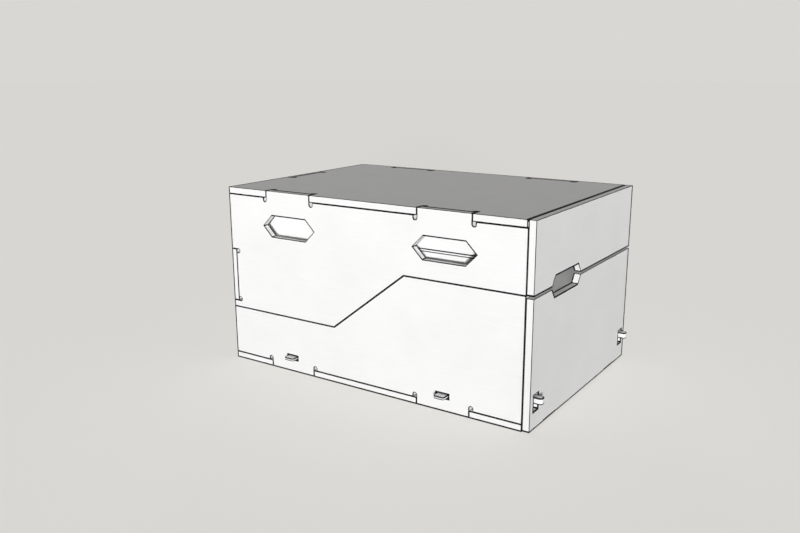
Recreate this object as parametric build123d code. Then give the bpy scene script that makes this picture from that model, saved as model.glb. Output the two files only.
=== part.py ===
from build123d import *
import os

# Camping chuck box of finger-jointed panels. The base has a low stove well at the left and a bay
# with a worktop at the right. The lid covers both and is hinged at the left end, the bay is closed
# by a drop flap, and two pairs of support arms pull out through slots. Millimetres.
#
# While the pieces are made, X runs from the left end, Y from the front face and Z from the floor.
# Each finished piece is then moved so that the origin is the centre of the underside.

# Closed body
body_width = 745.0
body_depth = 500.0
body_height = 400.0
board = 15.0

# Step in the parting line, the same on the front and the back
well_wall_height = 125.0
bay_wall_height = 262.0
ramp_start = 291.5
ramp_end = 468.0
ramp_gap = 0.5

# Finger joints with round router reliefs
tab_length = 120.0
tab_spacing = 386.0
end_tab_above_parting = 15.0
tab_play = 0.1
relief_width = 8.0
relief_depth = 9.0

# Gaps at the right end
flap_running_gap = 0.5
flap_floor_gap = 1.8
flap_top_gap = 4.0
lid_groove = 2.0

# Hand-holes
grip_length = 140.0
grip_height = 46.0
grip_height_above_parting = 61.0
grip_point = 23.0
end_grip_setback = 148.0
end_grip_rise = 19.0
end_grip_drop = 17.5
end_grip_point = 14.5

# Bay behind the flap
worktop_sink = 22.0
batten_width = 15.0
end_rail_height = 30.0

# End arms, which slide out along X
end_arm_width = 15.0
end_arm_height = 13.0
end_arm_level = 53.5
end_arm_side_gap = 3.0
end_arm_room = 10.0
end_arm_nose_radius = 6.0
flap_slot_side_gap = 2.5
flap_slot_above = 4.5
flap_slot_below = 15.5

# Front arms, which slide out along Y
front_arm_width = 25.0
front_arm_height = 6.0
front_arm_travel = 180.0
front_arm_nose_radius = 4.5
front_slot_play = 0.8

# What all arms share
nose_reach = 15.0
guide_length = 80.0
guide_wall = 8.0
guide_play = 0.3
stop_radius = 2.5
stop_height = 6.0
stop_margin = 1.0
stop_tail = 8.0

# Shelf board stowed in the lid
shelf_end_gap = 55.0
shelf_thickness = 12.0
shelf_setback = 15.0
shelf_below_top = 5.0
shelf_strip_height = 6.5
shelf_strip_thickness = 2.0
shelf_strip_length = 210.0
shelf_strip_drop = 65.0
cleat_width = 30.0
cleat_foot = 6.0
cleat_foot_gap = 4.0
cleat_rise = 50.0
cleat_inset = 5.0
cleat_relief = 1.0

# Lid hinge, one long strip on the left face
hinge_end_margin = 19.0
hinge_leaf_height = 28.0
hinge_leaf_thickness = 1.2
hinge_knuckle_radius = 3.0
hinge_pin_radius = 1.5
hinge_knuckles = 14
hinge_wall_gap = 0.3
hinge_screws = 7

# Flap hinges, two short ones let in under the bottom edge
flap_hinge_length = 60.0
flap_hinge_setback = 90.0
flap_hinge_leaf_thickness = 1.1
flap_hinge_knuckle_radius = 2.6
flap_hinge_pin_radius = 1.0
flap_hinge_knuckles = 3
flap_screw_spacing = 30.0
flap_hinge_base_reach = 42.0
flap_hinge_flap_reach = 10.5
flap_hinge_face_gap = 0.1
flap_hinge_foot_gap = 0.3
flap_hinge_leaf_gap = 0.1
flap_hinge_clearance = 0.6

# Clearances that hinges, pins and dowels share
knuckle_gap = 0.3
pin_play = 0.05

# Screws, dowels and magnetic catches
screw_head_radius = 2.7
screw_head_depth = 1.0
screw_radius = 1.3
screw_length = 11.0
screw_slot_length = 3.5
screw_slot_width = 0.7
screw_slot_depth = 0.5
dowel_radius = 4.0
dowel_length = 28.0
dowel_depth_in_face = 8.0
lid_dowels = 3
well_dowels = 2
magnet_radius = 4.0
magnet_depth = 4.0
plate_radius = 5.0
plate_depth = 1.2
catch_setback = 100.0

# Sizes that follow
end_face = body_width - board
base_length = end_face - flap_running_gap
inner_front = board
inner_back = body_depth - board
lid_panel_top = body_height - board
worktop_top = bay_wall_height - worktop_sink
worktop_bottom = worktop_top - board
flap_top = bay_wall_height - flap_top_gap
tab_centres = [end_face / 2 - tab_spacing / 2, end_face / 2 + tab_spacing / 2]
end_tab_low = well_wall_height + end_tab_above_parting
end_tab_high = end_tab_low + tab_length
depth_tab_front = body_depth / 2 - tab_length / 2
depth_tab_back = body_depth / 2 + tab_length / 2
grip_level = bay_wall_height + grip_height_above_parting
front_arm_level = 2 * board
end_arm_front_y = board + end_arm_side_gap
hinge_axis_x = -(hinge_knuckle_radius + hinge_wall_gap)
hinge_axis_z = well_wall_height
hinge_start = hinge_end_margin
hinge_length = body_depth - 2 * hinge_end_margin
flap_axis_x = body_width - flap_hinge_knuckle_radius - flap_hinge_face_gap
flap_axis_z = flap_hinge_foot_gap + flap_hinge_knuckle_radius + flap_hinge_leaf_gap

to_origin = Pos(-body_width / 2, -body_depth / 2, 0)
mid_plane = Plane(origin=(0, body_depth / 2, 0), x_dir=(1, 0, 0), z_dir=(0, 1, 0))


# Small shapes that the pieces are made of

def slab(x0, x1, y0, y1, z0, z1):
    """Block between two opposite corners."""
    centre = Pos((x0 + x1) / 2, (y0 + y1) / 2, (z0 + z1) / 2)
    return centre * Box(x1 - x0, y1 - y0, z1 - z0)


def rod(start, direction, length, radius):
    """Round bar from a point along a direction."""
    frame = Plane(origin=start, z_dir=direction)
    return frame * Cylinder(radius, length, align=(Align.CENTER, Align.CENTER, Align.MIN))


def upright_plate(outline, y0, y1):
    """Plate with an outline in X and Z, between two depths."""
    face = make_face(Polyline(*[(x, y0, z) for x, z in outline], close=True))
    return extrude(face, amount=y1 - y0, dir=(0, 1, 0))


def end_plate(outline, x0, x1):
    """Plate with an outline in Y and Z, between two places along X."""
    face = make_face(Polyline(*[(x0, y, z) for y, z in outline], close=True))
    return extrude(face, amount=x1 - x0, dir=(1, 0, 0))


def relief(corner, along, into):
    """Round-ended router notch beside a joint corner, cut into a board's edge."""
    frame = Plane(origin=corner, x_dir=along, z_dir=Vector(*along).cross(Vector(*into)))
    straight = relief_depth - relief_width / 2
    mouth = Pos(relief_width / 2, straight / 2) * Rectangle(relief_width, straight)
    end = Pos(relief_width / 2, straight) * Circle(relief_width / 2)
    return extrude(frame * (mouth + end), amount=board, both=True)


def hexagon(centre_u, low, high, length, point):
    """Hand-hole outline: flat top and bottom, a point at each side."""
    middle = (low + high) / 2
    half = length / 2
    return [
        (centre_u - half, middle), (centre_u - half + point, low), (centre_u + half - point, low),
        (centre_u + half, middle), (centre_u + half - point, high), (centre_u - half + point, high),
    ]


def screw_bore(start, direction):
    """Countersunk hole for one screw, from the face that its head is flush with."""
    frame = Plane(origin=start, z_dir=direction)
    low = (Align.CENTER, Align.CENTER, Align.MIN)
    head = Cone(screw_head_radius + pin_play, screw_radius + pin_play, screw_head_depth, align=low)
    shank = Cylinder(screw_radius + pin_play, screw_length + pin_play, align=low)
    return frame * (head + shank)


def screw(start, direction):
    """Countersunk screw with a cross slot in its head."""
    frame = Plane(origin=start, z_dir=direction)
    low = (Align.CENTER, Align.CENTER, Align.MIN)
    body = Cone(screw_head_radius, screw_radius, screw_head_depth, align=low)
    body += Cylinder(screw_radius, screw_length, align=low)
    for turn in (0, 90):
        slot = Box(screw_slot_length, screw_slot_width, screw_slot_depth, align=low)
        body -= Rot(0, 0, turn) * slot
    return frame * body


def spread(start, end, count):
    """Evenly spaced places, half a pitch in from each end."""
    pitch = (end - start) / count
    return [start + (i + 0.5) * pitch for i in range(count)]


def to_back(piece):
    """Mirror image of a piece about the middle of the depth."""
    return mirror(piece, about=mid_plane)


# Finger joints of the long panels, shared by the lid and the base

def edge_notches(z0, z1):
    """Cuts in a horizontal panel's front edge for the front panel's tabs."""
    cuts = []
    for centre in tab_centres:
        low = centre - tab_length / 2 - tab_play
        high = centre + tab_length / 2 + tab_play
        cuts.append(slab(low, high, 0, board, z0, z1))
        cuts.append(relief((low, board, z0), (1, 0, 0), (0, 1, 0)))
        cuts.append(relief((high, board, z0), (-1, 0, 0), (0, 1, 0)))
    return cuts


def end_notch(z0, z1):
    """Cuts in a horizontal panel's left edge for the left panel's tab."""
    low = depth_tab_front - tab_play
    high = depth_tab_back + tab_play
    return [
        slab(0, board, low, high, z0, z1),
        relief((board, low, z0), (0, 1, 0), (1, 0, 0)),
        relief((board, high, z0), (0, -1, 0), (1, 0, 0)),
    ]


def horizontal_panel(length, z0, z1):
    """Top or bottom panel, notched at the front, back and left edges."""
    panel = slab(0, length, 0, body_depth, z0, z1)
    for cut in edge_notches(z0, z1):
        panel -= cut
        panel -= to_back(cut)
    for cut in end_notch(z0, z1):
        panel -= cut
    return panel


def with_tabs(panel, shoulder, outward):
    """Front panel with two tabs past a level edge, and reliefs beside them."""
    for centre in tab_centres:
        low = centre - tab_length / 2
        high = centre + tab_length / 2
        z0 = min(shoulder, shoulder + outward * board)
        panel += slab(low, high, 0, board, z0, z0 + board)
        panel -= relief((low, 0, shoulder), (-1, 0, 0), (0, 0, -outward))
        panel -= relief((high, 0, shoulder), (1, 0, 0), (0, 0, -outward))
    return panel


def with_end_tab(panel, shoulder, outward):
    """Left panel with one tab in the middle of a level edge, and reliefs beside it."""
    z0 = min(shoulder, shoulder + outward * board)
    panel += slab(0, board, depth_tab_front, depth_tab_back, z0, z0 + board)
    panel -= relief((0, depth_tab_front, shoulder), (0, -1, 0), (0, 0, -outward))
    panel -= relief((0, depth_tab_back, shoulder), (0, 1, 0), (0, 0, -outward))
    return panel


# Dowels, screws and catches, and the holes that they need

def dowel_start_lid(z):
    """Inner end of a lid dowel in the front panel's right end."""
    return (end_face - (dowel_length - dowel_depth_in_face), board / 2, z)


def dowel_start_well(z):
    """Outer end of a dowel that joins the left base panel to the front panel."""
    return (board / 2, board - dowel_depth_in_face, z)


lid_dowel_levels = spread(bay_wall_height, lid_panel_top, lid_dowels)
well_dowel_levels = spread(board, well_wall_height, well_dowels)
hinge_screw_places = spread(hinge_start, hinge_start + hinge_length, hinge_screws)
hinge_screw_drop = hinge_knuckle_radius + (hinge_leaf_height - hinge_knuckle_radius) / 2
catch_level = worktop_bottom - end_rail_height / 2
catch_places = [catch_setback, body_depth - catch_setback]
flap_hinge_centres = [flap_hinge_setback, body_depth - flap_hinge_setback]
flap_screw_offsets = [-flap_screw_spacing / 2, flap_screw_spacing / 2]


def lid_dowel_set(radius, extra):
    """Dowels or their bores between the lid's end panel and its front and back panels."""
    shapes = []
    for z in lid_dowel_levels:
        x, y, level = dowel_start_lid(z)
        shape = rod((x - extra, y, level), (1, 0, 0), dowel_length + 2 * extra, radius)
        shapes += [shape, to_back(shape)]
    return shapes


def well_dowel_set(radius, extra):
    """Dowels or their bores between the left base panel and the front and back panels."""
    shapes = []
    for z in well_dowel_levels:
        x, y, level = dowel_start_well(z)
        shape = rod((x, y - extra, level), (0, 1, 0), dowel_length + 2 * extra, radius)
        shapes += [shape, to_back(shape)]
    return shapes


def hinge_screw_starts(side):
    """Screw heads on one leaf of the lid hinge, above or below its axis."""
    level = hinge_axis_z + side * hinge_screw_drop
    return [(-hinge_leaf_thickness, y, level) for y in hinge_screw_places]


def flap_screw_starts(x, z):
    """Screw heads on one row of the flap hinges' leaves."""
    return [(x, y + offset, z) for y in flap_hinge_centres for offset in flap_screw_offsets]


lower_leaf_low = flap_hinge_foot_gap
lower_leaf_high = lower_leaf_low + flap_hinge_leaf_thickness
upper_leaf_low = lower_leaf_high + flap_hinge_leaf_gap
upper_leaf_high = upper_leaf_low + flap_hinge_leaf_thickness
base_leaf_left = flap_axis_x - flap_hinge_base_reach
flap_leaf_left = flap_axis_x - flap_hinge_flap_reach
base_screw_x = (base_leaf_left + base_length) / 2
flap_screw_x = flap_leaf_left + flap_hinge_flap_reach / 2 - flap_hinge_knuckle_radius / 2
base_leaf_screws = flap_screw_starts(base_screw_x, lower_leaf_low)
flap_leaf_screws = flap_screw_starts(flap_screw_x, upper_leaf_low)


# Arms and their guides

def rounded_nose(bar, place, axis, radius):
    """Round the two upright edges of an arm at its nose end."""
    edges = bar.edges().filter_by(Axis.Z).group_by(axis)[place]
    return fillet(edges, radius)


front_guide_end = board + guide_length
front_stop_y = front_guide_end + front_arm_travel + stop_radius + stop_margin
front_arm_tail = front_stop_y + stop_tail
end_guide_start = base_length - guide_length
end_arm_tail = ramp_end + end_arm_room
end_stop_x = end_arm_tail + stop_tail


def front_arm(centre):
    """Flat arm that slides out of the front, with the hole for its stop pin."""
    half = front_arm_width / 2
    top = front_arm_level + front_arm_height
    bar = slab(centre - half, centre + half, -nose_reach, front_arm_tail, front_arm_level, top)
    bar = rounded_nose(bar, 0, Axis.Y, front_arm_nose_radius)
    start = (centre, front_stop_y, front_arm_level)
    return bar - rod(start, (0, 0, 1), front_arm_height, stop_radius + pin_play)


def front_stop(centre):
    """Pin that stops a front arm at the end of its guide."""
    length = front_arm_height + stop_height
    return rod((centre, front_stop_y, front_arm_level), (0, 0, 1), length, stop_radius)


def front_guide(centre):
    """Runner under a front arm, with a tunnel over its front end."""
    half = front_arm_width / 2 + guide_play
    outer = half + guide_wall
    top = front_arm_level + front_arm_height + guide_play
    runner = slab(centre - outer, centre + outer, board, front_arm_tail, board, front_arm_level)
    roof = top + guide_wall
    cover = slab(centre - outer, centre + outer, board, front_guide_end, front_arm_level, roof)
    tunnel = slab(centre - half, centre + half, board, front_guide_end, front_arm_level, top)
    return runner + (cover - tunnel)


def end_arm():
    """Arm that slides out of the right end, beside the front panel."""
    y1 = end_arm_front_y + end_arm_width
    top = end_arm_level + end_arm_height
    bar = slab(end_arm_tail, body_width + nose_reach, end_arm_front_y, y1, end_arm_level, top)
    bar = rounded_nose(bar, -1, Axis.X, end_arm_nose_radius)
    middle = (end_arm_front_y + y1) / 2
    start = (end_stop_x, middle, end_arm_level)
    return bar - rod(start, (0, 0, 1), end_arm_height, stop_radius + pin_play)


def end_stop():
    """Pin that stops an end arm at its guide."""
    middle = end_arm_front_y + end_arm_width / 2
    length = end_arm_height + stop_height
    return rod((end_stop_x, middle, end_arm_level), (0, 0, 1), length, stop_radius)


def end_guide():
    """Block with a tunnel for an end arm, fixed to the inside of the front panel."""
    y0 = end_arm_front_y - guide_play
    y1 = end_arm_front_y + end_arm_width + guide_play
    z0 = end_arm_level - guide_play
    z1 = end_arm_level + end_arm_height + guide_play
    low = z0 - guide_wall
    block = slab(end_guide_start, base_length, board, y1 + guide_wall, low, z1 + guide_wall)
    return block - slab(end_guide_start, base_length, y0, y1, z0, z1)


# Base panels

def base_bottom_panel():
    """Floor of the base, with seats for the flap hinges in its underside."""
    panel = horizontal_panel(base_length, 0, board)
    seat_top = lower_leaf_high + flap_hinge_leaf_gap
    for y in flap_hinge_centres:
        half = flap_hinge_length / 2 + flap_hinge_clearance
        left = base_leaf_left - flap_hinge_clearance
        panel -= slab(left, base_length, y - half, y + half, 0, seat_top)
    for start in base_leaf_screws:
        panel -= screw_bore(start, (0, 0, 1))
    return panel


def base_outline():
    """Outline of the front base panel between its tabs and its stepped top edge."""
    return [
        (0, board), (base_length, board), (base_length, bay_wall_height),
        (ramp_end, bay_wall_height), (ramp_start, well_wall_height), (0, well_wall_height),
    ]


def base_side_panel():
    """Front or back base panel without slots."""
    panel = with_tabs(upright_plate(base_outline(), 0, board), board, -1)
    for bore in well_dowel_set(dowel_radius + pin_play, pin_play):
        panel -= bore
    return panel


def base_front_panel():
    """Front base panel with a slot for each front arm."""
    panel = base_side_panel()
    half = front_arm_width / 2 + front_slot_play
    low = front_arm_level - front_slot_play
    high = front_arm_level + front_arm_height + front_slot_play
    for centre in tab_centres:
        panel -= slab(centre - half, centre + half, 0, board, low, high)
    return panel


def base_left_panel():
    """Low wall at the left of the stove well."""
    panel = slab(0, board, inner_front, inner_back, board, well_wall_height)
    panel = with_end_tab(panel, board, -1)
    for bore in well_dowel_set(dowel_radius + pin_play, pin_play):
        panel -= bore
    for start in hinge_screw_starts(-1):
        panel -= screw_bore(start, (1, 0, 0))
    return panel


def divider_panel():
    """Wall between the stove well and the bay."""
    return slab(ramp_end - board, ramp_end, inner_front, inner_back, board, worktop_bottom)


def worktop_panel():
    """Worktop over the bay, sunk below the rim of the base."""
    return slab(ramp_end - board, base_length, inner_front, inner_back, worktop_bottom, worktop_top)


def worktop_batten():
    """Strip on the front panel that carries the worktop."""
    right = base_length - board
    low = worktop_bottom - batten_width
    return slab(ramp_end, right, inner_front, inner_front + batten_width, low, worktop_bottom)


def worktop_end_rail():
    """Rail under the worktop's open edge, which the flap closes against."""
    low = worktop_bottom - end_rail_height
    rail = slab(base_length - board, base_length, inner_front, inner_back, low, worktop_bottom)
    for y in catch_places:
        start = (base_length - magnet_depth, y, catch_level)
        rail -= rod(start, (1, 0, 0), magnet_depth, magnet_radius + pin_play)
    return rail


def catch_magnet(y):
    """Round magnet let into the end rail."""
    return rod((base_length - magnet_depth, y, catch_level), (1, 0, 0), magnet_depth, magnet_radius)


# Lid panels

def lid_outline():
    """Outline of the lid's front panel below its tabs, with the stepped bottom edge."""
    return [
        (0, well_wall_height), (ramp_start - ramp_gap, well_wall_height),
        (ramp_end - ramp_gap, bay_wall_height), (end_face, bay_wall_height),
        (end_face, lid_panel_top), (0, lid_panel_top),
    ]


def lid_front_panel():
    """Lid's front panel with two hand-holes and a notch for the left panel's tab."""
    panel = with_tabs(upright_plate(lid_outline(), 0, board), lid_panel_top, 1)
    low = end_tab_low - tab_play
    high = end_tab_high + tab_play
    panel -= slab(0, board, 0, board, low, high)
    panel -= relief((board, 0, low), (0, 0, 1), (1, 0, 0))
    panel -= relief((board, 0, high), (0, 0, -1), (1, 0, 0))
    for centre in tab_centres:
        low = grip_level - grip_height / 2
        hole = hexagon(centre, low, low + grip_height, grip_length, grip_point)
        panel -= upright_plate(hole, 0, board)
    for bore in lid_dowel_set(dowel_radius + pin_play, pin_play):
        panel -= bore
    return panel


def lid_left_panel():
    """Lid's left panel, tabbed into the front, back and top."""
    panel = slab(0, board, inner_front, inner_back, well_wall_height, lid_panel_top)
    panel += slab(0, board, 0, body_depth, end_tab_low, end_tab_high)
    for corner_z, away in ((end_tab_low, -1), (end_tab_high, 1)):
        cut = relief((0, inner_front, corner_z), (0, 0, away), (0, 1, 0))
        panel -= cut
        panel -= to_back(cut)
    panel = with_end_tab(panel, lid_panel_top, 1)
    for start in hinge_screw_starts(1):
        panel -= screw_bore(start, (1, 0, 0))
    return panel


def lid_top_panel():
    """Lid's top, a groove's width short of the end panel."""
    return horizontal_panel(end_face - lid_groove, lid_panel_top, body_height)


def end_grip_cut(x0, x1):
    """Hand-hole shared by the lid's end panel and the flap."""
    low = flap_top - end_grip_drop
    high = bay_wall_height + end_grip_rise
    return end_plate(hexagon(end_grip_setback, low, high, grip_length, end_grip_point), x0, x1)


def lid_end_panel():
    """Lid's right end panel, lapped over the ends of the front and back."""
    panel = slab(end_face, body_width, 0, body_depth, bay_wall_height, body_height)
    panel -= end_grip_cut(end_face, body_width)
    for bore in lid_dowel_set(dowel_radius + pin_play, pin_play):
        panel -= bore
    return panel


# Flap over the bay's open end

def flap_panel():
    """Drop flap with two arm slots, half of the hand-hole, hinge seats and catch seats."""
    panel = slab(end_face, body_width, 0, body_depth, flap_floor_gap, flap_top)
    panel -= end_grip_cut(end_face, body_width)
    slot_centre = end_arm_front_y + end_arm_width / 2
    slot_low = end_arm_level - flap_slot_below
    slot_high = end_arm_level + end_arm_height + flap_slot_above
    half = end_arm_width / 2 + flap_slot_side_gap
    slot = slab(end_face, body_width, slot_centre - half, slot_centre + half, slot_low, slot_high)
    panel -= slot
    panel -= to_back(slot)
    seat_top = upper_leaf_high + flap_hinge_leaf_gap
    room = flap_hinge_knuckle_radius + flap_hinge_clearance
    for y in flap_hinge_centres:
        half = flap_hinge_length / 2 + flap_hinge_clearance
        panel -= slab(end_face, body_width, y - half, y + half, 0, seat_top)
        panel -= slab(flap_axis_x - room, body_width, y - half, y + half, 0, flap_axis_z + room)
    for start in flap_leaf_screws:
        panel -= screw_bore(start, (0, 0, 1))
    for y in catch_places:
        start = (end_face, y, catch_level)
        panel -= rod(start, (1, 0, 0), plate_depth, plate_radius + pin_play)
    return panel


def catch_plate(y):
    """Steel disc let into the flap, opposite a magnet."""
    return rod((end_face, y, catch_level), (1, 0, 0), plate_depth, plate_radius)


# Hinges

def knuckle_zones(start, length, count, first):
    """Stretches along Y of every second knuckle, from the first or the second."""
    pitch = length / count
    half_gap = knuckle_gap / 2
    return [(start + i * pitch + half_gap, start + (i + 1) * pitch - half_gap)
            for i in range(first, count, 2)]


def lid_hinge_leaf(side):
    """Long leaf on the left face, above the axis on the lid or below it on the base."""
    inner = hinge_axis_z + side * (hinge_knuckle_radius + knuckle_gap)
    outer = hinge_axis_z + side * hinge_leaf_height
    end = hinge_start + hinge_length
    leaf = slab(-hinge_leaf_thickness, 0, hinge_start, end, min(inner, outer), max(inner, outer))
    first = 0 if side < 0 else 1
    low = min(inner, hinge_axis_z)
    high = max(inner, hinge_axis_z)
    for y0, y1 in knuckle_zones(hinge_start, hinge_length, hinge_knuckles, first):
        leaf += slab(-hinge_leaf_thickness, 0, y0, y1, low, high)
        leaf += rod((hinge_axis_x, y0, hinge_axis_z), (0, 1, 0), y1 - y0, hinge_knuckle_radius)
    axis_start = (hinge_axis_x, 0, hinge_axis_z)
    leaf -= rod(axis_start, (0, 1, 0), body_depth, hinge_pin_radius + pin_play)
    for start in hinge_screw_starts(side):
        leaf -= screw_bore(start, (1, 0, 0))
    return leaf


def lid_hinge_pin():
    """Pin through all knuckles of the lid hinge."""
    return rod((hinge_axis_x, hinge_start, hinge_axis_z), (0, 1, 0), hinge_length, hinge_pin_radius)


def flap_hinge_leaf(centre, left, low, first, inset, screws):
    """Short leaf from its left edge to knuckles at the axis, the first or the second ones."""
    start_y = centre - flap_hinge_length / 2
    end_y = centre + flap_hinge_length / 2
    stand_off = flap_axis_x - flap_hinge_knuckle_radius - knuckle_gap
    high = low + flap_hinge_leaf_thickness
    leaf = slab(left, stand_off, start_y, end_y, low, high)
    for y0, y1 in knuckle_zones(start_y, flap_hinge_length, flap_hinge_knuckles, first):
        leaf += slab(stand_off, flap_axis_x - inset, y0, y1, low, high)
        leaf += rod((flap_axis_x, y0, flap_axis_z), (0, 1, 0), y1 - y0, flap_hinge_knuckle_radius)
    axis_start = (flap_axis_x, 0, flap_axis_z)
    leaf -= rod(axis_start, (0, 1, 0), body_depth, flap_hinge_pin_radius + pin_play)
    for start in screws:
        leaf -= screw_bore(start, (0, 0, 1))
    return leaf


def flap_hinge_base_leaf(centre):
    """Leaf under the bottom panel."""
    return flap_hinge_leaf(centre, base_leaf_left, lower_leaf_low, 0, 0, base_leaf_screws)


def flap_hinge_flap_leaf(centre):
    """Leaf under the flap's bottom edge."""
    inset = (flap_hinge_knuckle_radius + flap_hinge_pin_radius) / 2
    return flap_hinge_leaf(centre, flap_leaf_left, upper_leaf_low, 1, inset, flap_leaf_screws)


def flap_hinge_pin(centre):
    """Pin of one flap hinge."""
    start = (flap_axis_x, centre - flap_hinge_length / 2, flap_axis_z)
    return rod(start, (0, 1, 0), flap_hinge_length, flap_hinge_pin_radius)


# Shelf board in the lid, and what holds it

shelf_left = shelf_end_gap
shelf_right = end_face - shelf_end_gap
shelf_front = board + shelf_setback
shelf_back = shelf_front + shelf_thickness
shelf_high = lid_panel_top - shelf_below_top
shelf_low = worktop_top + cleat_foot_gap + cleat_foot
cleat_lefts = [shelf_left + cleat_inset, shelf_right - cleat_inset - cleat_width]
shelf_magnet_level = shelf_low + cleat_rise / 2


def shelf_magnet_place(left):
    """Middle of a cleat, where its magnet meets the board."""
    return left + cleat_width / 2


def shelf_board():
    """Board that lies on the pulled-out arms as a side shelf."""
    panel = slab(shelf_left, shelf_right, shelf_front, shelf_back, shelf_low, shelf_high)
    for left in cleat_lefts:
        start = (shelf_magnet_place(left), shelf_front, shelf_magnet_level)
        panel -= rod(start, (0, 1, 0), plate_depth, plate_radius + pin_play)
    return panel


def shelf_plate(left):
    """Steel disc let into the shelf board, opposite a cleat's magnet."""
    start = (shelf_magnet_place(left), shelf_front, shelf_magnet_level)
    return rod(start, (0, 1, 0), plate_depth, plate_radius)


def shelf_strip():
    """Thin strip on the board's outer face, between the right hand-hole's two sides."""
    high = shelf_high - shelf_strip_drop
    middle = tab_centres[1]
    half = shelf_strip_length / 2
    front = shelf_front - shelf_strip_thickness
    left = middle - half
    right = min(middle + half, cleat_lefts[1] - cleat_relief)
    return slab(left, right, front, shelf_front, high - shelf_strip_height, high)


def shelf_cleat(left):
    """Angled cleat: a spacer on the lid's front panel and a foot under the board."""
    right = left + cleat_width
    foot_low = shelf_low - cleat_foot
    clear_of_base = bay_wall_height + cleat_relief
    cleat = slab(left, right, board, shelf_front, clear_of_base, shelf_low + cleat_rise)
    cleat += slab(left, right, board + cleat_relief, shelf_front, foot_low, clear_of_base)
    cleat += slab(left, right, shelf_front, shelf_back, foot_low, shelf_low)
    start = (shelf_magnet_place(left), shelf_front - magnet_depth, shelf_magnet_level)
    return cleat - rod(start, (0, 1, 0), magnet_depth, magnet_radius + pin_play)


def shelf_magnet(left):
    """Magnet let into a cleat."""
    start = (shelf_magnet_place(left), shelf_front - magnet_depth, shelf_magnet_level)
    return rod(start, (0, 1, 0), magnet_depth, magnet_radius)


# All pieces by name

pieces = {
    "base_bottom_panel": [base_bottom_panel()],
    "base_front_panel": [base_front_panel()],
    "base_back_panel": [to_back(base_side_panel())],
    "base_left_panel": [base_left_panel()],
    "base_corner_dowels": well_dowel_set(dowel_radius, 0),
    "divider_panel": [divider_panel()],
    "worktop_panel": [worktop_panel()],
    "worktop_batten_front": [worktop_batten()],
    "worktop_batten_back": [to_back(worktop_batten())],
    "worktop_end_rail": [worktop_end_rail()],
    "catch_magnets": [catch_magnet(y) for y in catch_places],
    "front_arm_guide_left": [front_guide(tab_centres[0])],
    "front_arm_guide_right": [front_guide(tab_centres[1])],
    "end_arm_guide_front": [end_guide()],
    "end_arm_guide_back": [to_back(end_guide())],
    "lid_hinge_base_leaf": [lid_hinge_leaf(-1)],
    "lid_hinge_pin": [lid_hinge_pin()],
    "lid_hinge_base_screws": [screw(start, (1, 0, 0)) for start in hinge_screw_starts(-1)],
    "flap_hinge_base_leaves": [flap_hinge_base_leaf(y) for y in flap_hinge_centres],
    "flap_hinge_pins": [flap_hinge_pin(y) for y in flap_hinge_centres],
    "flap_hinge_base_screws": [screw(start, (0, 0, 1)) for start in base_leaf_screws],
    "lid_top_panel": [lid_top_panel()],
    "lid_front_panel": [lid_front_panel()],
    "lid_back_panel": [to_back(lid_front_panel())],
    "lid_left_panel": [lid_left_panel()],
    "lid_end_panel": [lid_end_panel()],
    "lid_end_dowels": lid_dowel_set(dowel_radius, 0),
    "lid_hinge_lid_leaf": [lid_hinge_leaf(1)],
    "lid_hinge_lid_screws": [screw(start, (1, 0, 0)) for start in hinge_screw_starts(1)],
    "shelf_cleat_left": [shelf_cleat(cleat_lefts[0])],
    "shelf_cleat_right": [shelf_cleat(cleat_lefts[1])],
    "shelf_magnets": [shelf_magnet(left) for left in cleat_lefts],
    "shelf_board": [shelf_board()],
    "shelf_strip": [shelf_strip()],
    "shelf_plates": [shelf_plate(left) for left in cleat_lefts],
    "end_flap": [flap_panel()],
    "catch_plates": [catch_plate(y) for y in catch_places],
    "flap_hinge_flap_leaves": [flap_hinge_flap_leaf(y) for y in flap_hinge_centres],
    "flap_hinge_flap_screws": [screw(start, (0, 0, 1)) for start in flap_leaf_screws],
    "front_arm_left": [front_arm(tab_centres[0])],
    "front_arm_left_stop": [front_stop(tab_centres[0])],
    "front_arm_right": [front_arm(tab_centres[1])],
    "front_arm_right_stop": [front_stop(tab_centres[1])],
    "end_arm_front": [end_arm()],
    "end_arm_front_stop": [end_stop()],
    "end_arm_back": [to_back(end_arm())],
    "end_arm_back_stop": [to_back(end_stop())],
}

os.makedirs("parts", exist_ok=True)
for name, solids in pieces.items():
    placed = [to_origin * solid for solid in solids]
    shape = placed[0] if len(placed) == 1 else Compound(children=placed)
    export_step(shape, f"parts/{name}.step")
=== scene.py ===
"""Looks of a camp kitchen box with a stepped, hinged lid.

Its boards are faced in satin white and their edges are rubbed black, which draws a fine black line beside
every seam, opening and corner. Along the groove between the lid's top and its end board, and along the end
board's lower edge over the flap, the line is widened to paint the shade of those narrow gaps. Battens,
guides and cleats are bare plywood and dowels are beech. Hinges, pins, screws, magnets and catch plates are
steel, and the leaves let in under the flap are painted black like the edges.
"""

import logging
import math
from abc import ABC, abstractmethod
from collections.abc import Callable
from dataclasses import dataclass
from enum import Enum
from itertools import combinations

import bpy
from mathutils import Matrix, Vector


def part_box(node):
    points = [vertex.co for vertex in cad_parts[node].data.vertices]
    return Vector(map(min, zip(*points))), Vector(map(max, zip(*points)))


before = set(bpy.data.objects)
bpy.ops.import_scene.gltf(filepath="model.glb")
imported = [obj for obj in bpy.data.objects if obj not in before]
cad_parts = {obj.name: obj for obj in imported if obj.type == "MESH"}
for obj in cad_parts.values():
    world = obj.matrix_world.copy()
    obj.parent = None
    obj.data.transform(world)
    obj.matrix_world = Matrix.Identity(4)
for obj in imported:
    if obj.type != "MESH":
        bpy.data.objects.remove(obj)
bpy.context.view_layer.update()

log = logging.getLogger("camp_box")

MILLIMETRE = 0.001

# Share of a hand-hole's length that each of its points takes.
TIP_SHARE = 0.25

# Degrees that a camera is tipped up from looking straight down to looking level.
LEVEL_VIEW = 90.0

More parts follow.
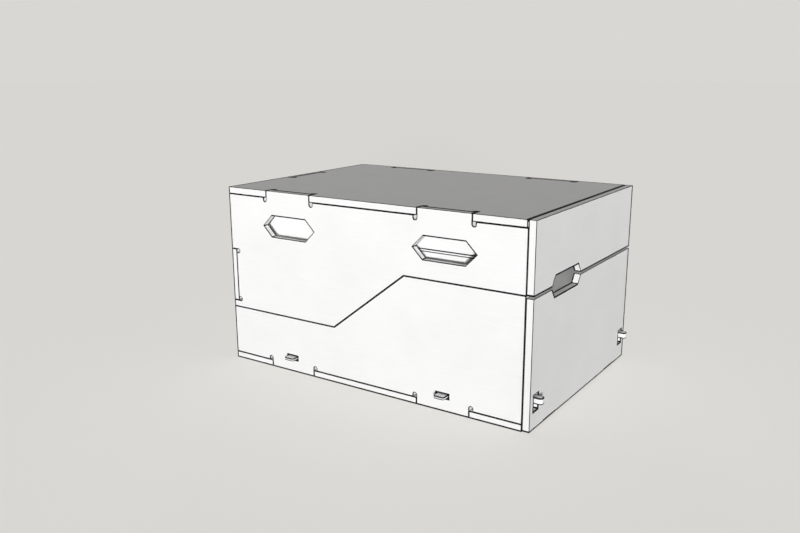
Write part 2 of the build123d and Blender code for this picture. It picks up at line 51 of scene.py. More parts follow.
Colour = tuple[float, float, float]
Triple = tuple[float, float, float]
Span = tuple[float, float]
Socket = bpy.types.NodeSocket

EVEN = Vector((1.0, 1.0, 1.0))


class Axis(Enum):
    """Direction along an axis of the box, by its index."""

    LENGTH = 0
    DEPTH = 1
    HEIGHT = 2


class Face(Enum):
    """Outer face of the closed box, by the index of its axis and 0 for its low or 1 for its high end."""

    LEFT = (0, 0)
    RIGHT = (0, 1)
    FRONT = (1, 0)
    BACK = (1, 1)
    BOTTOM = (2, 0)
    TOP = (2, 1)


class SteelKind(Enum):
    """Ways in which the steel pieces are finished."""

    BRUSHED = "brushed"
    TURNED = "turned"
    PLATED = "plated"


class SeenRay(Enum):
    """Kinds of ray that see the studio's pale background."""

    CAMERA = "Is Camera Ray"
    GLOSSY = "Is Glossy Ray"
    TRANSMISSION = "Is Transmission Ray"


@dataclass
class Graph:
    """Node tree with short ways to add nodes and join them.

    Attributes:
        tree: The node tree that is being built.
    """

    tree: bpy.types.NodeTree

    def add(self, kind: str, **settings: object) -> bpy.types.Node:
        """Adds a node.

        Args:
            kind: The node's type name.
            settings: Properties of the node, by name.

        Returns:
            The new node.
        """
        node = self.tree.nodes.new(kind)
        for name, value in settings.items():
            setattr(node, name, value)
        return node

    def join(self, source: Socket, target: Socket) -> None:
        """Links an output to an input."""
        self.tree.links.new(source, target)

    def feed(self, value: Socket | float, target: Socket) -> None:
        """Gives an input its value.

        Args:
            value: The output to link it to, or the number to set it to.
            target: The input.
        """
        if isinstance(value, Socket):
            self.join(value, target)
        else:
            target.default_value = value

    def operate(self, operation: str, *values: Socket | float) -> Socket:
        """Works out one value from others.

        Args:
            operation: The math node's operation.
            values: The values that it takes, each an output or a number.

        Returns:
            The result's socket.
        """
        node = self.add("ShaderNodeMath", operation=operation)
        for value, target in zip(values, node.inputs):
            self.feed(value, target)
        return node.outputs[0]

    def blend(self, share: Socket | float, first: Socket | float, second: Socket | float) -> Socket:
        """Blends two values.

        Args:
            share: Share of the second value, from 0 to 1.
            first: The first value.
            second: The second value.

        Returns:
            The blend's socket.
        """
        node = self.add("ShaderNodeMix", data_type="FLOAT")
        for name, value in (("Factor", share), ("A", first), ("B", second)):
            self.feed(value, node.inputs[name])
        return node.outputs["Result"]

    def spread(self, factor: Socket, span: Span) -> Socket:
        """Picks a value between two limits.

        Args:
            factor: Socket that goes from 0 to 1.
            span: The value at 0 and the value at 1.

        Returns:
            The value's socket.
        """
        node = self.add("ShaderNodeMapRange")
        node.inputs["To Min"].default_value, node.inputs["To Max"].default_value = span
        self.join(factor, node.inputs["Value"])
        return node.outputs["Result"]

    def split(self, vector: Socket) -> list[Socket]:
        """Splits a vector into its parts.

        Args:
            vector: Socket with the vector.

        Returns:
            The socket of its part along each axis.
        """
        node = self.add("ShaderNodeSeparateXYZ")
        self.join(vector, node.inputs[0])
        return list(node.outputs)

    def shader(self, kind: str, colour: Colour) -> bpy.types.Node:
        """Adds a shader of one colour.

        Args:
            kind: The shader node's type name.
            colour: Its colour.

        Returns:
            The new node.
        """
        node = self.add(kind)
        node.inputs["Color"].default_value = (*colour, 1.0)
        return node


@dataclass(frozen=True)
class Noise:
    """Noise that a finish is painted with.

    Attributes:
        scale: Cells in a metre, before the noise is drawn out.
        detail: Octaves of finer noise.
        draw: Factor along the grain, small where the noise is drawn out along it.
    """

    scale: float
    detail: float
    draw: float = 1.0


@dataclass(frozen=True)
class Tones:
    """Two colours that blend as a noise rises.

    Attributes:
        low: Colour where the noise is low.
        high: Colour where the noise is high.
        start: Noise value at which the colour begins to change.
        end: Noise value at which it has changed.
    """

    low: Colour
    high: Colour
    start: float
    end: float


@dataclass(frozen=True)
class Relief:
    """Relief that a noise gives a surface.

    Attributes:
        depth: Its real depth in metres.
        strength: Share of it that is used.
    """

    depth: float
    strength: float


@dataclass
class Surface:
    """Material that is being made, with the ways in which a finish can paint it.

    Attributes:
        graph: The material's node tree.
        shader: The material's surface shader.
        place: Socket with the point on the piece, in metres.
        normal: Socket with the relief so far, or None while there is none.
    """

    graph: Graph
    shader: bpy.types.Node
    place: Socket
    normal: Socket | None = None

    def noise(self, noise: Noise, grain: Axis = Axis.LENGTH) -> Socket:
        """Adds noise to paint with.

        Args:
            noise: The noise.
            grain: Axis that it is drawn out along.

        Returns:
            The noise value's socket.
        """
        mapping = self.graph.add("ShaderNodeMapping")
        stretch = EVEN.copy()
        stretch[grain.value] = noise.draw
        mapping.inputs["Scale"].default_value = stretch
        self.graph.join(self.place, mapping.inputs["Vector"])
        texture = self.graph.add("ShaderNodeTexNoise")
        texture.inputs["Scale"].default_value = noise.scale
        texture.inputs["Detail"].default_value = noise.detail
        self.graph.join(mapping.outputs["Vector"], texture.inputs["Vector"])
        return texture.outputs["Fac"]

    def tint(self, factor: Socket, tones: Tones) -> None:
        """Colours the surface.

        Args:
            factor: Socket that picks the colour.
            tones: The colours.
        """
        ramp = self.graph.add("ShaderNodeValToRGB")
        first, last = ramp.color_ramp.elements
        first.position, last.position = tones.start, tones.end
        first.color, last.color = (*tones.low, 1.0), (*tones.high, 1.0)
        self.graph.join(factor, ramp.inputs["Fac"])
        self.graph.join(ramp.outputs["Color"], self.shader.inputs["Base Color"])

    def roughen(self, factor: Socket, span: Span) -> None:
        """Makes the surface rougher as a factor goes from 0 to 1."""
        self.graph.join(self.graph.spread(factor, span), self.shader.inputs["Roughness"])

    def emboss(self, height: Socket, relief: Relief) -> None:
        """Gives the surface relief, on top of any that it has.

        Args:
            height: Socket with the height.
            relief: How deep and strong the relief is.
        """
        bump = self.graph.add("ShaderNodeBump")
        bump.inputs["Distance"].default_value = relief.depth
        bump.inputs["Strength"].default_value = relief.strength
        self.graph.join(height, bump.inputs["Height"])
        if self.normal is not None:
            self.graph.join(self.normal, bump.inputs["Normal"])
        self.normal = bump.outputs["Normal"]
        self.graph.join(self.normal, self.shader.inputs["Normal"])

    def shine(self, level: float) -> None:
        """Sets how much light the surface mirrors."""
        self.shader.inputs["Specular IOR Level"].default_value = level


class Finish(ABC):
    """A surface finish, made into a material once and then shared."""

    _made: dict["Finish", bpy.types.Material] = {}

    @property
    @abstractmethod
    def name(self) -> str:
        """The material's name."""

    @abstractmethod
    def paint(self, surface: Surface) -> None:
        """Paints a surface with the finish.

        Args:
            surface: The surface.
        """

    def material(self) -> bpy.types.Material:
        """Makes the material, or returns the one that was made before.

        Returns:
            The material.
        """
        if self in Finish._made:
            return Finish._made[self]
        made = bpy.data.materials.new(self.name)
        made.use_nodes = True
        graph = Graph(made.node_tree)
        place = graph.add("ShaderNodeTexCoord").outputs["Object"]
        self.paint(Surface(graph, made.node_tree.nodes["Principled BSDF"], place))
        Finish._made[self] = made
        return made


@dataclass(frozen=True)
class WhiteFacing(Finish):
    """Satin white facing, with the board's grain just felt through it.

    Attributes:
        grain: Axis that the board's grain runs along.
        tones: Colours of the dullest and the palest patches.
        roughness: Lowest and highest roughness.
        patches: Noise of the soft patches.
        streaks: Noise of the fine streaks along the grain.
        pebbles: Noise of the pebbled relief.
        streak_share: Share that the streaks have in the colour.
        streak_relief: Relief of the streaks.
        pebble_relief: Relief of the pebbles.
        gloss: How much light it mirrors.
    """

    grain: Axis
    tones: Tones = Tones((0.875, 0.875, 0.868), (0.91, 0.91, 0.905), 0.38, 0.62)
    roughness: Span = (0.52, 0.66)
    patches: Noise = Noise(9.0, 3.0)
    streaks: Noise = Noise(260.0, 4.0, draw=0.06)
    pebbles: Noise = Noise(1500.0, 2.0)
    streak_share: float = 0.4
    streak_relief: Relief = Relief(0.00006, 0.35)
    pebble_relief: Relief = Relief(0.00004, 0.5)
    gloss: float = 0.2

    @property
    def name(self) -> str:
        """The material's name, with the grain's axis."""
        return f"white_facing_{self.grain.name.lower()}"

    def paint(self, surface: Surface) -> None:
        """Paints soft patches, fine streaks along the grain and a fine pebbled relief.

        Args:
            surface: The surface.
        """
        patches = surface.noise(self.patches)
        streaks = surface.noise(self.streaks, self.grain)
        surface.tint(surface.graph.blend(self.streak_share, patches, streaks), self.tones)
        surface.roughen(patches, self.roughness)
        surface.emboss(streaks, self.streak_relief)
        surface.emboss(surface.noise(self.pebbles), self.pebble_relief)
        surface.shine(self.gloss)


@dataclass(frozen=True)
class RubbedBlackAndGapShade(Finish):
    """Matt black rubbed along the boards' edges, which also paints the shade of the lid's narrow gaps.

    Attributes:
        tones: Colours of most of it and of where it has worn thin.
        roughness: Lowest and highest roughness.
        specks: Noise of the worn specks.
        relief: Relief of the specks.
        gloss: How much light it mirrors.
    """

    tones: Tones = Tones((0.006, 0.006, 0.007), (0.016, 0.016, 0.017), 0.45, 0.75)
    roughness: Span = (0.6, 0.8)
    specks: Noise = Noise(420.0, 4.0)
    relief: Relief = Relief(0.00005, 0.3)
    gloss: float = 0.15

    @property
    def name(self) -> str:
        """The material's name."""
        return "rubbed_black_and_gap_shade"

    def paint(self, surface: Surface) -> None:
        """Paints a matt dark surface with fine worn specks.

        Args:
            surface: The surface.
        """
        specks = surface.noise(self.specks)
        surface.tint(specks, self.tones)
        surface.roughen(specks, self.roughness)
        surface.emboss(specks, self.relief)
        surface.shine(self.gloss)


@dataclass(frozen=True)
class Plywood(Finish):
    """Bare birch plywood, with its plies showing on the edges.

    Attributes:
        grain: Axis that the face grain runs along.
        layers: Axis that the plies are stacked along.
        ply: Thickness of one ply in metres.
        ply_shade: Least and most that a ply is darkened where its edge shows.
        face_share: How squarely a surface has to look along the stack to count as a face, from 0 to 1.
        tones: Darkest and palest wood colour.
        roughness: Lowest and highest roughness.
        figure: Noise of the long grain.
        pores: Noise of the pores.
        relief: Relief of the pores.
        gloss: How much light it mirrors.
    """

    grain: Axis
    layers: Axis
    ply: float = 0.0014
    ply_shade: Span = (0.0, 0.5)
    face_share: float = 0.5
    tones: Tones = Tones((0.43, 0.27, 0.13), (0.66, 0.47, 0.28), 0.15, 0.6)
    roughness: Span = (0.55, 0.72)
    figure: Noise = Noise(180.0, 6.0, draw=0.05)
    pores: Noise = Noise(1400.0, 2.0, draw=0.04)
    relief: Relief = Relief(0.00008, 0.5)
    gloss: float = 0.3

    @property
    def name(self) -> str:
        """The material's name, with both axes."""
        return f"plywood_{self.grain.name.lower()}_{self.layers.name.lower()}"

    def shade_plies(self, surface: Surface) -> Socket:
        """Works out the shade of every second ply where the plies' edges show.

        Args:
            surface: The surface.

        Returns:
            Socket with how much darker the point is.
        """
        graph = surface.graph
        stack = graph.split(surface.place)[self.layers.value]
        wave = graph.operate("SINE", graph.operate("MULTIPLY", stack, math.pi / self.ply))
        normal = graph.add("ShaderNodeTexCoord").outputs["Normal"]
        facing = graph.operate("ABSOLUTE", graph.split(normal)[self.layers.value])
        on_edge = graph.operate("LESS_THAN", facing, self.face_share)
        return graph.operate("MULTIPLY", graph.spread(wave, self.ply_shade), on_edge)

    def paint(self, surface: Surface) -> None:
        """Paints long grain on the faces and alternate plies on the edges.

        Args:
            surface: The surface.
        """
        figure = surface.noise(self.figure, self.grain)
        surface.tint(surface.graph.operate("SUBTRACT", figure, self.shade_plies(surface)), self.tones)
        surface.roughen(figure, self.roughness)
        surface.emboss(surface.noise(self.pores, self.grain), self.relief)
        surface.shine(self.gloss)


@dataclass(frozen=True)
class Beech(Finish):
    """Plain beech of the dowels, with short dark flecks.

    Attributes:
        grain: Axis that the grain runs along.
        tones: Colours of the flecks and of the wood between them.
        roughness: Lowest and highest roughness.
        flecks: Noise of the flecks.
        relief: Relief of the flecks.
    """

    grain: Axis
    tones: Tones = Tones((0.4, 0.24, 0.13), (0.6, 0.4, 0.24), 0.35, 0.6)
    roughness: Span = (0.5, 0.65)
    flecks: Noise = Noise(900.0, 4.0, draw=0.1)
    relief: Relief = Relief(0.00005, 0.4)

    @property
    def name(self) -> str:
        """The material's name, with the grain's axis."""
        return f"beech_{self.grain.name.lower()}"

    def paint(self, surface: Surface) -> None:
        """Paints even pinkish wood with flecks along the grain.

        Args:
            surface: The surface.
        """
        flecks = surface.noise(self.flecks, self.grain)
        surface.tint(flecks, self.tones)
        surface.roughen(flecks, self.roughness)
        surface.emboss(flecks, self.relief)


@dataclass(frozen=True)
class SteelLook:
    """Colours and surface of one kind of steel.

    Attributes:
        tones: Darker and paler metal colour.
        roughness: Lowest and highest roughness.
        relief: Relief of the tool marks.
    """

    tones: Tones
    roughness: Span
    relief: Relief


STEEL_LOOKS = {
    SteelKind.BRUSHED: SteelLook(
        tones=Tones((0.58, 0.585, 0.59), (0.66, 0.665, 0.67), 0.35, 0.65),
        roughness=(0.28, 0.42),
        relief=Relief(0.00003, 0.4),
    ),
    SteelKind.TURNED: SteelLook(
        tones=Tones((0.40, 0.405, 0.41), (0.45, 0.455, 0.46), 0.35, 0.65),
        roughness=(0.2, 0.32),
        relief=Relief(0.00001, 0.4),
    ),
    SteelKind.PLATED: SteelLook(
        tones=Tones((0.36, 0.36, 0.355), (0.42, 0.42, 0.412), 0.35, 0.65),
        roughness=(0.22, 0.38),
        relief=Relief(0.00001, 0.4),
    ),
}


@dataclass(frozen=True)
class Steel(Finish):
    """Bare or plated steel.

    Attributes:
        kind: How the steel is finished.
        marks: Axis that its tool marks run along.
        lines: Noise of the tool marks.
    """

    kind: SteelKind
    marks: Axis
    lines: Noise = Noise(2400.0, 3.0, draw=0.02)

    @property
    def name(self) -> str:
        """The material's name, with the axis of its marks."""
        return f"{self.kind.value}_steel_{self.marks.name.lower()}"

    def paint(self, surface: Surface) -> None:
        """Paints a metal with fine streaks along its marks.

        Args:
            surface: The surface.
        """
        look = STEEL_LOOKS[self.kind]
        lines = surface.noise(self.lines, self.marks)
        surface.tint(lines, look.tones)
        surface.roughen(lines, look.roughness)
        surface.emboss(lines, look.relief)
        surface.shader.inputs["Metallic"].default_value = 1.0


@dataclass(frozen=True)
class BlackPaint(Finish):
    """Satin black paint on steel, with the faint dimples of a sprayed coat.

    Attributes:
        tones: Colours of the coat's duller patches and of most of it.
        roughness: Lowest and highest roughness.
        patches: Noise of the soft patches.
        dimples: Noise of the dimples.
        relief: Relief of the dimples.
    """

    tones: Tones = Tones((0.01, 0.01, 0.0105), (0.016, 0.016, 0.017), 0.35, 0.6)
    roughness: Span = (0.35, 0.5)
    patches: Noise = Noise(30.0, 3.0)
    dimples: Noise = Noise(800.0, 1.0)
    relief: Relief = Relief(0.00003, 0.5)

    @property
    def name(self) -> str:
        """The material's name."""
        return "black_paint"

    def paint(self, surface: Surface) -> None:
        """Paints soft patches and a dimpled relief.

        Args:
            surface: The surface.
        """
        patches = surface.noise(self.patches)
        surface.tint(patches, self.tones)
        surface.roughen(patches, self.roughness)
        surface.emboss(surface.noise(self.dimples), self.relief)


@dataclass(frozen=True)
class Zone:
    """Box of space.

    Attributes:
        centre: Its middle, in metres.
        half: Half of its size along each axis, in metres.
    """

    centre: Triple
    half: Triple

    @classmethod
    def around(cls, node: str, margin: float) -> "Zone":
        """Space that a piece takes, with a margin on every side."""
        low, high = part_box(node)
        return cls(tuple((low + high) / 2), tuple((high - low) / 2 + EVEN * margin))

    def part(self, axis: Axis, start: float, end: float) -> "Zone":
        """Part of the box between two places along an axis.

        Args:
            axis: The axis.
            start: Where the part begins, as a share of the box's size.
            end: Where it ends, as a share of the box's size.

        Returns:
            The part.
        """
        centre, half = list(self.centre), list(self.half)
        centre[axis.value] += half[axis.value] * (start + end - 1.0)
        half[axis.value] *= end - start
        return Zone(tuple(centre), tuple(half))

    def within(self, other: "Zone") -> "Zone":
        """Part of the box that lies in another one.

        Args:
            other: The other box.

        Returns:
            The part.
        """
        pairs = list(zip(self.centre, self.half, other.centre, other.half))
        low = [max(own - reach, their - room) for own, reach, their, room in pairs]
        high = [min(own + reach, their + room) for own, reach, their, room in pairs]
        centre = tuple((first + last) / 2 for first, last in zip(low, high))
        return Zone(centre, tuple((last - first) / 2 for first, last in zip(low, high)))

    def upper_half(self) -> "Zone":
        """Upper half of the box."""
        return self.part(Axis.HEIGHT, 0.5, 1.0)

    def low_tip(self, axis: Axis) -> "Zone":
        """First stretch of the box along an axis, where a hand-hole comes to a point."""
        return self.part(axis, 0.0, TIP_SHARE)

    def high_tip(self, axis: Axis) -> "Zone":
        """Last stretch of the box along an axis, where a hand-hole comes to a point."""
        return self.part(axis, 1.0 - TIP_SHARE, 1.0)

    def holds(self, graph: Graph, place: Socket) -> Socket:
        """Tells whether a point lies in the box.

        Args:
            graph: Node tree that the test is added to.
            place: Socket with the point.

        Returns:
            Socket that is 1 inside and 0 outside.
        """
        away = graph.add("ShaderNodeVectorMath", operation="SUBTRACT")
        graph.join(place, away.inputs[0])
        away.inputs[1].default_value = self.centre
        size = graph.add("ShaderNodeVectorMath", operation="ABSOLUTE")
        graph.join(away.outputs[0], size.inputs[0])
        limits = zip(graph.split(size.outputs[0]), self.half)
        length, depth, height = [graph.operate("LESS_THAN", part, limit) for part, limit in limits]
        return graph.operate("MULTIPLY", graph.operate("MULTIPLY", length, depth), height)


@dataclass(frozen=True)
class ClosedBody:
    """Outer faces of the closed box, without the arms' noses and the lid's hinge.

    Attributes:
        low: Corner with the lowest values, in metres.
        high: Corner with the highest values, in metres.
        reach: How near to an outer face an edge counts as lying on it, in metres.
    """

    low: Triple
    high: Triple
    reach: float = 2.5 * MILLIMETRE

    @classmethod
    def from_frame(cls) -> "ClosedBody":
        """Reads the outer faces from the boards that end there.

        Returns:
            The closed box.
        """
        top_low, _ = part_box("lid_top_panel")
        _, end_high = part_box("lid_end_panel")
        bottom_low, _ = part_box("base_bottom_panel")
        return cls((top_low.x, top_low.y, bottom_low.z), tuple(end_high))

    def zone(self, *faces: Face) -> Zone:
        """Space beside one outer face, or beside the corner of two.

        Args:
            faces: The faces that the space lies at.

        Returns:
            The space, which reaches past the box wherever no face is named.
        """
        centre = [(low + high) / 2 for low, high in zip(self.low, self.high)]
        half = [high - low for low, high in zip(self.low, self.high)]
        for face in faces:
            axis, end = face.value
            centre[axis] = (self.low, self.high)[end][axis]
            half[axis] = self.reach
        return Zone(tuple(centre), tuple(half))


@dataclass(frozen=True)
class LineRule:
    """Width that the black line has beside every edge in one zone.

    Attributes:
        zone: The zone that the edge's middle lies in.
        width: The line's width on each side of the edge, in metres.
    """

    zone: Zone
    width: float


@dataclass(frozen=True)
class Openings:
    """Space at the openings of some boards, where the lines differ from those beside a seam.

    Attributes:
        holes: Space in which edges get a hand-hole's line.
        slots: Space in which edges get an arm slot's line.
        brows: Space in which edges get the line of a hand-hole's upper edge.
        rims: Space in which edges get the line of a hand-hole's inside.
        faint: Space in which edges get a fine line.
        plain: Space in which edges get no line, unless they are outer corners.
    """

    holes: tuple[Zone, ...] = ()
    slots: tuple[Zone, ...] = ()
    brows: tuple[Zone, ...] = ()
    rims: tuple[Zone, ...] = ()
    faint: tuple[Zone, ...] = ()
    plain: tuple[Zone, ...] = ()


@dataclass(frozen=True)
class EndHandHole:
    """Hand-hole at the flap end, half in the lid and half in the flap.

    Attributes:
        depth: Its middle along the depth, in metres.
        level: Its middle's height, in metres.
        room: Half of the space that holds its edges on one face of the boards, in metres.
    """

    depth: float = -0.102
    level: float = 0.261
    room: Triple = (0.003, 0.073, 0.024)

    def at(self, along: float) -> Zone:
        """Space that holds its edges at one place along the length."""
        return Zone((along, self.depth, self.level), self.room)


@dataclass(frozen=True)
class BoardLines:
    """Widths in metres of the black lines beside the edges of the boards.

    A line is wider where the main view sees its face at a slant, so that it still reads as a line there.

    Attributes:
        seam: Beside an edge that meets another board.
        hole: Along the lower edges of hand-holes, and at the ends of the top's groove.
        slot: Around arm slots.
        brow: Along the upper edges of hand-holes, along the top's groove, where its extra width is painted
        shade of the narrow groove, and inside the flap's half of a hand-hole.
        rim: Along a hand-hole's edges on the inside of the lid, over the flap, where its extra width is
            painted
        shade of the gap above the flap, and at the near side of the flap's slots and hand-hole.
        fine: Along the flap's top, beside some tips of hand-holes, and along the three corners that meet
            above the flap at the front.
        outer: Along the other corners of the closed box.
        slant: Along the corners that the main view sees at a slant.
        top_seam: Beside the seams in the top face.
    """

    seam: float = 1.8 * MILLIMETRE
    hole: float = 1.6 * MILLIMETRE
    slot: float = 3.2 * MILLIMETRE
    brow: float = 2.8 * MILLIMETRE
    rim: float = 3.6 * MILLIMETRE
    fine: float = 1.1 * MILLIMETRE
    outer: float = 3.4 * MILLIMETRE
    slant: float = 6.5 * MILLIMETRE
    top_seam: float = 4.5 * MILLIMETRE

    def corner_width(self, faces: set[Face]) -> float:
        """Picks the width along the corner of two outer faces.

        Args:
            faces: The two faces.

        Returns:
            The width.
        """
        if faces <= {Face.FRONT, Face.RIGHT, Face.TOP}:
            return self.fine
        if Face.TOP in faces or faces == {Face.BACK, Face.RIGHT}:
            return self.slant
        return self.outer

    def rules(self, body: ClosedBody, openings: Openings) -> tuple[LineRule, ...]:
        """Lists the widths for every part of the box, where a later rule overrides an earlier one.

        Args:
            body: Outer faces of the closed box.
            openings: Openings of the boards that the rules are for.

        Returns:
            The rules.
        """
        rules = [LineRule(body.zone(), self.seam), LineRule(body.zone(Face.TOP), self.top_seam)]
        rules += [LineRule(zone, self.hole) for zone in openings.holes]
        rules += [LineRule(zone, self.slot) for zone in openings.slots]
        rules += [LineRule(zone, self.brow) for zone in openings.brows]
        rules += [LineRule(zone, self.rim) for zone in openings.rims]
        rules += [LineRule(zone, self.fine) for zone in openings.faint]
        rules += [LineRule(zone, 0.0) for zone in openings.plain]
        for pair in combinations(Face, 2):
            if pair[0].value[0] != pair[1].value[0]:
                rules.append(LineRule(body.zone(*pair), self.corner_width(set(pair))))
        return tuple(rules)


def shared_group(name: str, fill: Callable[[Graph, Socket], Socket]) -> bpy.types.NodeTree:
    """Makes a node group that works on a piece's geometry, or returns the one that was made before.

    Args:
        name: The group's name.
        fill: Adds the group's nodes, from the socket with the geometry that comes in to the one that goes
            out.

    Returns:
        The geometry node group.
    """
    if name in bpy.data.node_groups:
        return bpy.data.node_groups[name]
    tree = bpy.data.node_groups.new(name, "GeometryNodeTree")
    tree.interface.new_socket("Geometry", in_out="INPUT", socket_type="NodeSocketGeometry")
    tree.interface.new_socket("Geometry", in_out="OUTPUT", socket_type="NodeSocketGeometry")
    graph = Graph(tree)
    given = graph.add("NodeGroupInput").outputs[0]
    wanted = graph.add("NodeGroupOutput").inputs[0]
    graph.join(fill(graph, given), wanted)
    return tree


@dataclass(frozen=True)
class EdgeWork:
    """Modifiers that rub a piece's edges black, partly as painted shade of gaps, ease its corners and
    shade its curves.

    Attributes:
        label: Name of this kind of edge.
        rules: Widths of the lines beside the edges, or nothing for no lines.
        eased: How far each corner is taken off, in metres.
        sharp_angle: Angle in degrees from which an edge counts as a corner.
        smooth_angle: Angle in degrees below which two facets shade as one curve.
        flat_angle: Angle in degrees below which two facets become one.
        weld: Distance in metres within which points are one point.
        line_strips: Number of strips in a line, one on each side of its edge.
        line_profile: Bevel profile that leaves an edge square, so that its line lies flat on both faces.
        ease_strips: Number of strips across an eased corner.
        edge_slot: Place of the edges' material among the piece's materials.
    """

    label: str = "plain"
    rules: tuple[LineRule, ...] = ()
    eased: float = 0.0
    sharp_angle: float = 40.0
    smooth_angle: float = 30.0
    flat_angle: float = 0.5
    weld: float = 0.01 * MILLIMETRE
    line_strips: int = 2
    line_profile: float = 1.0
    ease_strips: int = 1
    edge_slot: int = 1

    @property
    def widest(self) -> float:
        """Width of the widest line."""
        return max(rule.width for rule in self.rules)

    def join_faces(self, graph: Graph, given: Socket) -> Socket:
        """Joins split points and drops stored normals.

        Args:
            graph: The node group's tree.
            given: Socket with the piece's geometry.

        Returns:
            Socket with the joined geometry.
        """
        merge = graph.add("GeometryNodeMergeByDistance")
        merge.inputs["Distance"].default_value = self.weld
        forget = graph.add("GeometryNodeRemoveAttribute")
        forget.inputs["Name"].default_value = "custom_normal"
        graph.join(given, merge.inputs["Geometry"])
        graph.join(merge.outputs["Geometry"], forget.inputs["Geometry"])
        return forget.outputs["Geometry"]

    def store_widths(self, graph: Graph, given: Socket) -> Socket:
        """Stores how wide the line beside each edge is.

        Args:
            graph: The node group's tree.
            given: Socket with the piece's geometry.

        Returns:
            Socket with the geometry and its widths.
        """
        place = graph.add("GeometryNodeInputPosition").outputs[0]
        share = 0.0
        for rule in self.rules:
            share = graph.blend(rule.zone.holds(graph, place), share, rule.width / self.widest)
        angle = graph.add("GeometryNodeInputMeshEdgeAngle").outputs["Unsigned Angle"]
        sharp = graph.operate("GREATER_THAN", angle, math.radians(self.sharp_angle))
        store = graph.add("GeometryNodeStoreNamedAttribute", data_type="FLOAT", domain="EDGE")
        store.inputs["Name"].default_value = "bevel_weight_edge"
        graph.join(graph.operate("MULTIPLY", share, sharp), store.inputs["Value"])
        graph.join(given, store.inputs["Geometry"])
        return store.outputs["Geometry"]

    def shade_curves(self, graph: Graph, given: Socket) -> Socket:
        """Shades curves smooth and keeps corners sharp.

        Args:
            graph: The node group's tree.
            given: Socket with the piece's geometry.

        Returns:
            Socket with the shaded geometry.
        """
        angle = graph.add("GeometryNodeInputMeshEdgeAngle").outputs["Unsigned Angle"]
        corner = graph.add("FunctionNodeCompare", data_type="FLOAT", operation="GREATER_THAN")
        corner.inputs[1].default_value = math.radians(self.smooth_angle)
        graph.join(angle, corner.inputs[0])
        smooth = graph.add("GeometryNodeSetShadeSmooth", domain="FACE")
        smooth.inputs["Shade Smooth"].default_value = True
        sharpen = graph.add("GeometryNodeSetShadeSmooth", domain="EDGE")
        sharpen.inputs["Shade Smooth"].default_value = False
        graph.join(given, smooth.inputs["Geometry"])
        graph.join(smooth.outputs["Geometry"], sharpen.inputs["Geometry"])
        graph.join(corner.outputs["Result"], sharpen.inputs["Selection"])
        return sharpen.outputs["Geometry"]

    def add_bevel(
        self, piece: bpy.types.Object, name: str, width: float, strips: int
    ) -> bpy.types.Modifier:
        """Adds a bevel whose faces take the edges' material.

        Args:
            piece: The piece.
            name: The modifier's name.
            width: How far the bevel reaches from the edge, in metres.
            strips: Number of strips across it.

        Returns:
            The modifier.
        """
        bevel = piece.modifiers.new(name, "BEVEL")
        bevel.width = width
        bevel.segments = strips
        bevel.use_clamp_overlap = False
        bevel.loop_slide = False
        bevel.material = self.edge_slot
        return bevel

    def draw_lines(self, piece: bpy.types.Object) -> None:
        """Adds the black lines beside the edges.

        Args:
            piece: The piece.
        """
        widths = piece.modifiers.new("line_widths", "NODES")
        widths.node_group = shared_group(f"line_widths_{self.label}", self.store_widths)
        lines = self.add_bevel(piece, "rubbed_lines_and_gap_shade", self.widest, self.line_strips)
        lines.limit_method = "WEIGHT"
        lines.profile = self.line_profile

    def ease_corners(self, piece: bpy.types.Object) -> None:
        """Takes the corners off.

        Args:
            piece: The piece.
        """
        corners = self.add_bevel(piece, "eased_corners", self.eased, self.ease_strips)
        corners.limit_method = "ANGLE"
        corners.angle_limit = math.radians(self.sharp_angle)

    def apply_to(self, piece: bpy.types.Object) -> None:
        """Adds the modifiers to a piece, whose second material takes the lines and corners.

        Args:
            piece: The piece, whose mesh stays as it is.
        """
        joined = piece.modifiers.new("joined_faces", "NODES")
        joined.node_group = shared_group("joined_faces", self.join_faces)
        if self.eased > 0.0:
            flat = piece.modifiers.new("flat_faces", "DECIMATE")
            flat.decimate_type = "DISSOLVE"
            flat.angle_limit = math.radians(self.flat_angle)
        if self.rules:
            self.draw_lines(piece)
        if self.eased > 0.0:
            self.ease_corners(piece)
        shaded = piece.modifiers.new("smooth_curves", "NODES")
        shaded.node_group = shared_group("smooth_curves", self.shade_curves)


@dataclass
class SubAssembly(ABC):
    """Group of pieces that belong together.

    Attributes:
        body: Outer faces of the closed box.
    """

    body: ClosedBody

    @abstractmethod
    def dress(self) -> None:
        """Gives each piece of the group its finish and its corners."""

    def dress_board(self, node: str, grain: Axis, edges: EdgeWork) -> None:
        """Gives a board its white faces and black edges."""
        self.dress_piece(node, WhiteFacing(grain), edges, RubbedBlackAndGapShade())

    def dress_steel(self, node: str, kind: SteelKind, marks: Axis) -> None:
        """Gives a steel piece its finish."""
        self.dress_piece(node, Steel(kind, marks), EdgeWork())

    def dress_piece(
        self, node: str, finish: Finish, edges: EdgeWork, edge_finish: Finish | None = None
    ) -> None:
        """Gives a piece its finish and its corners.

        Args:
            node: The piece's name in the frame.
            finish: Finish of its faces.
            edges: How its edges are worked and its curves shaded.
            edge_finish: Finish of the lines and eased corners, or None where they match the faces.
        """
        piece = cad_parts[node]
        piece.data.materials.clear()
        piece.data.materials.append(finish.material())
        piece.data.materials.append((edge_finish or finish).material())
        edges.apply_to(piece)
        log.info("%s: %s", node, finish.name)


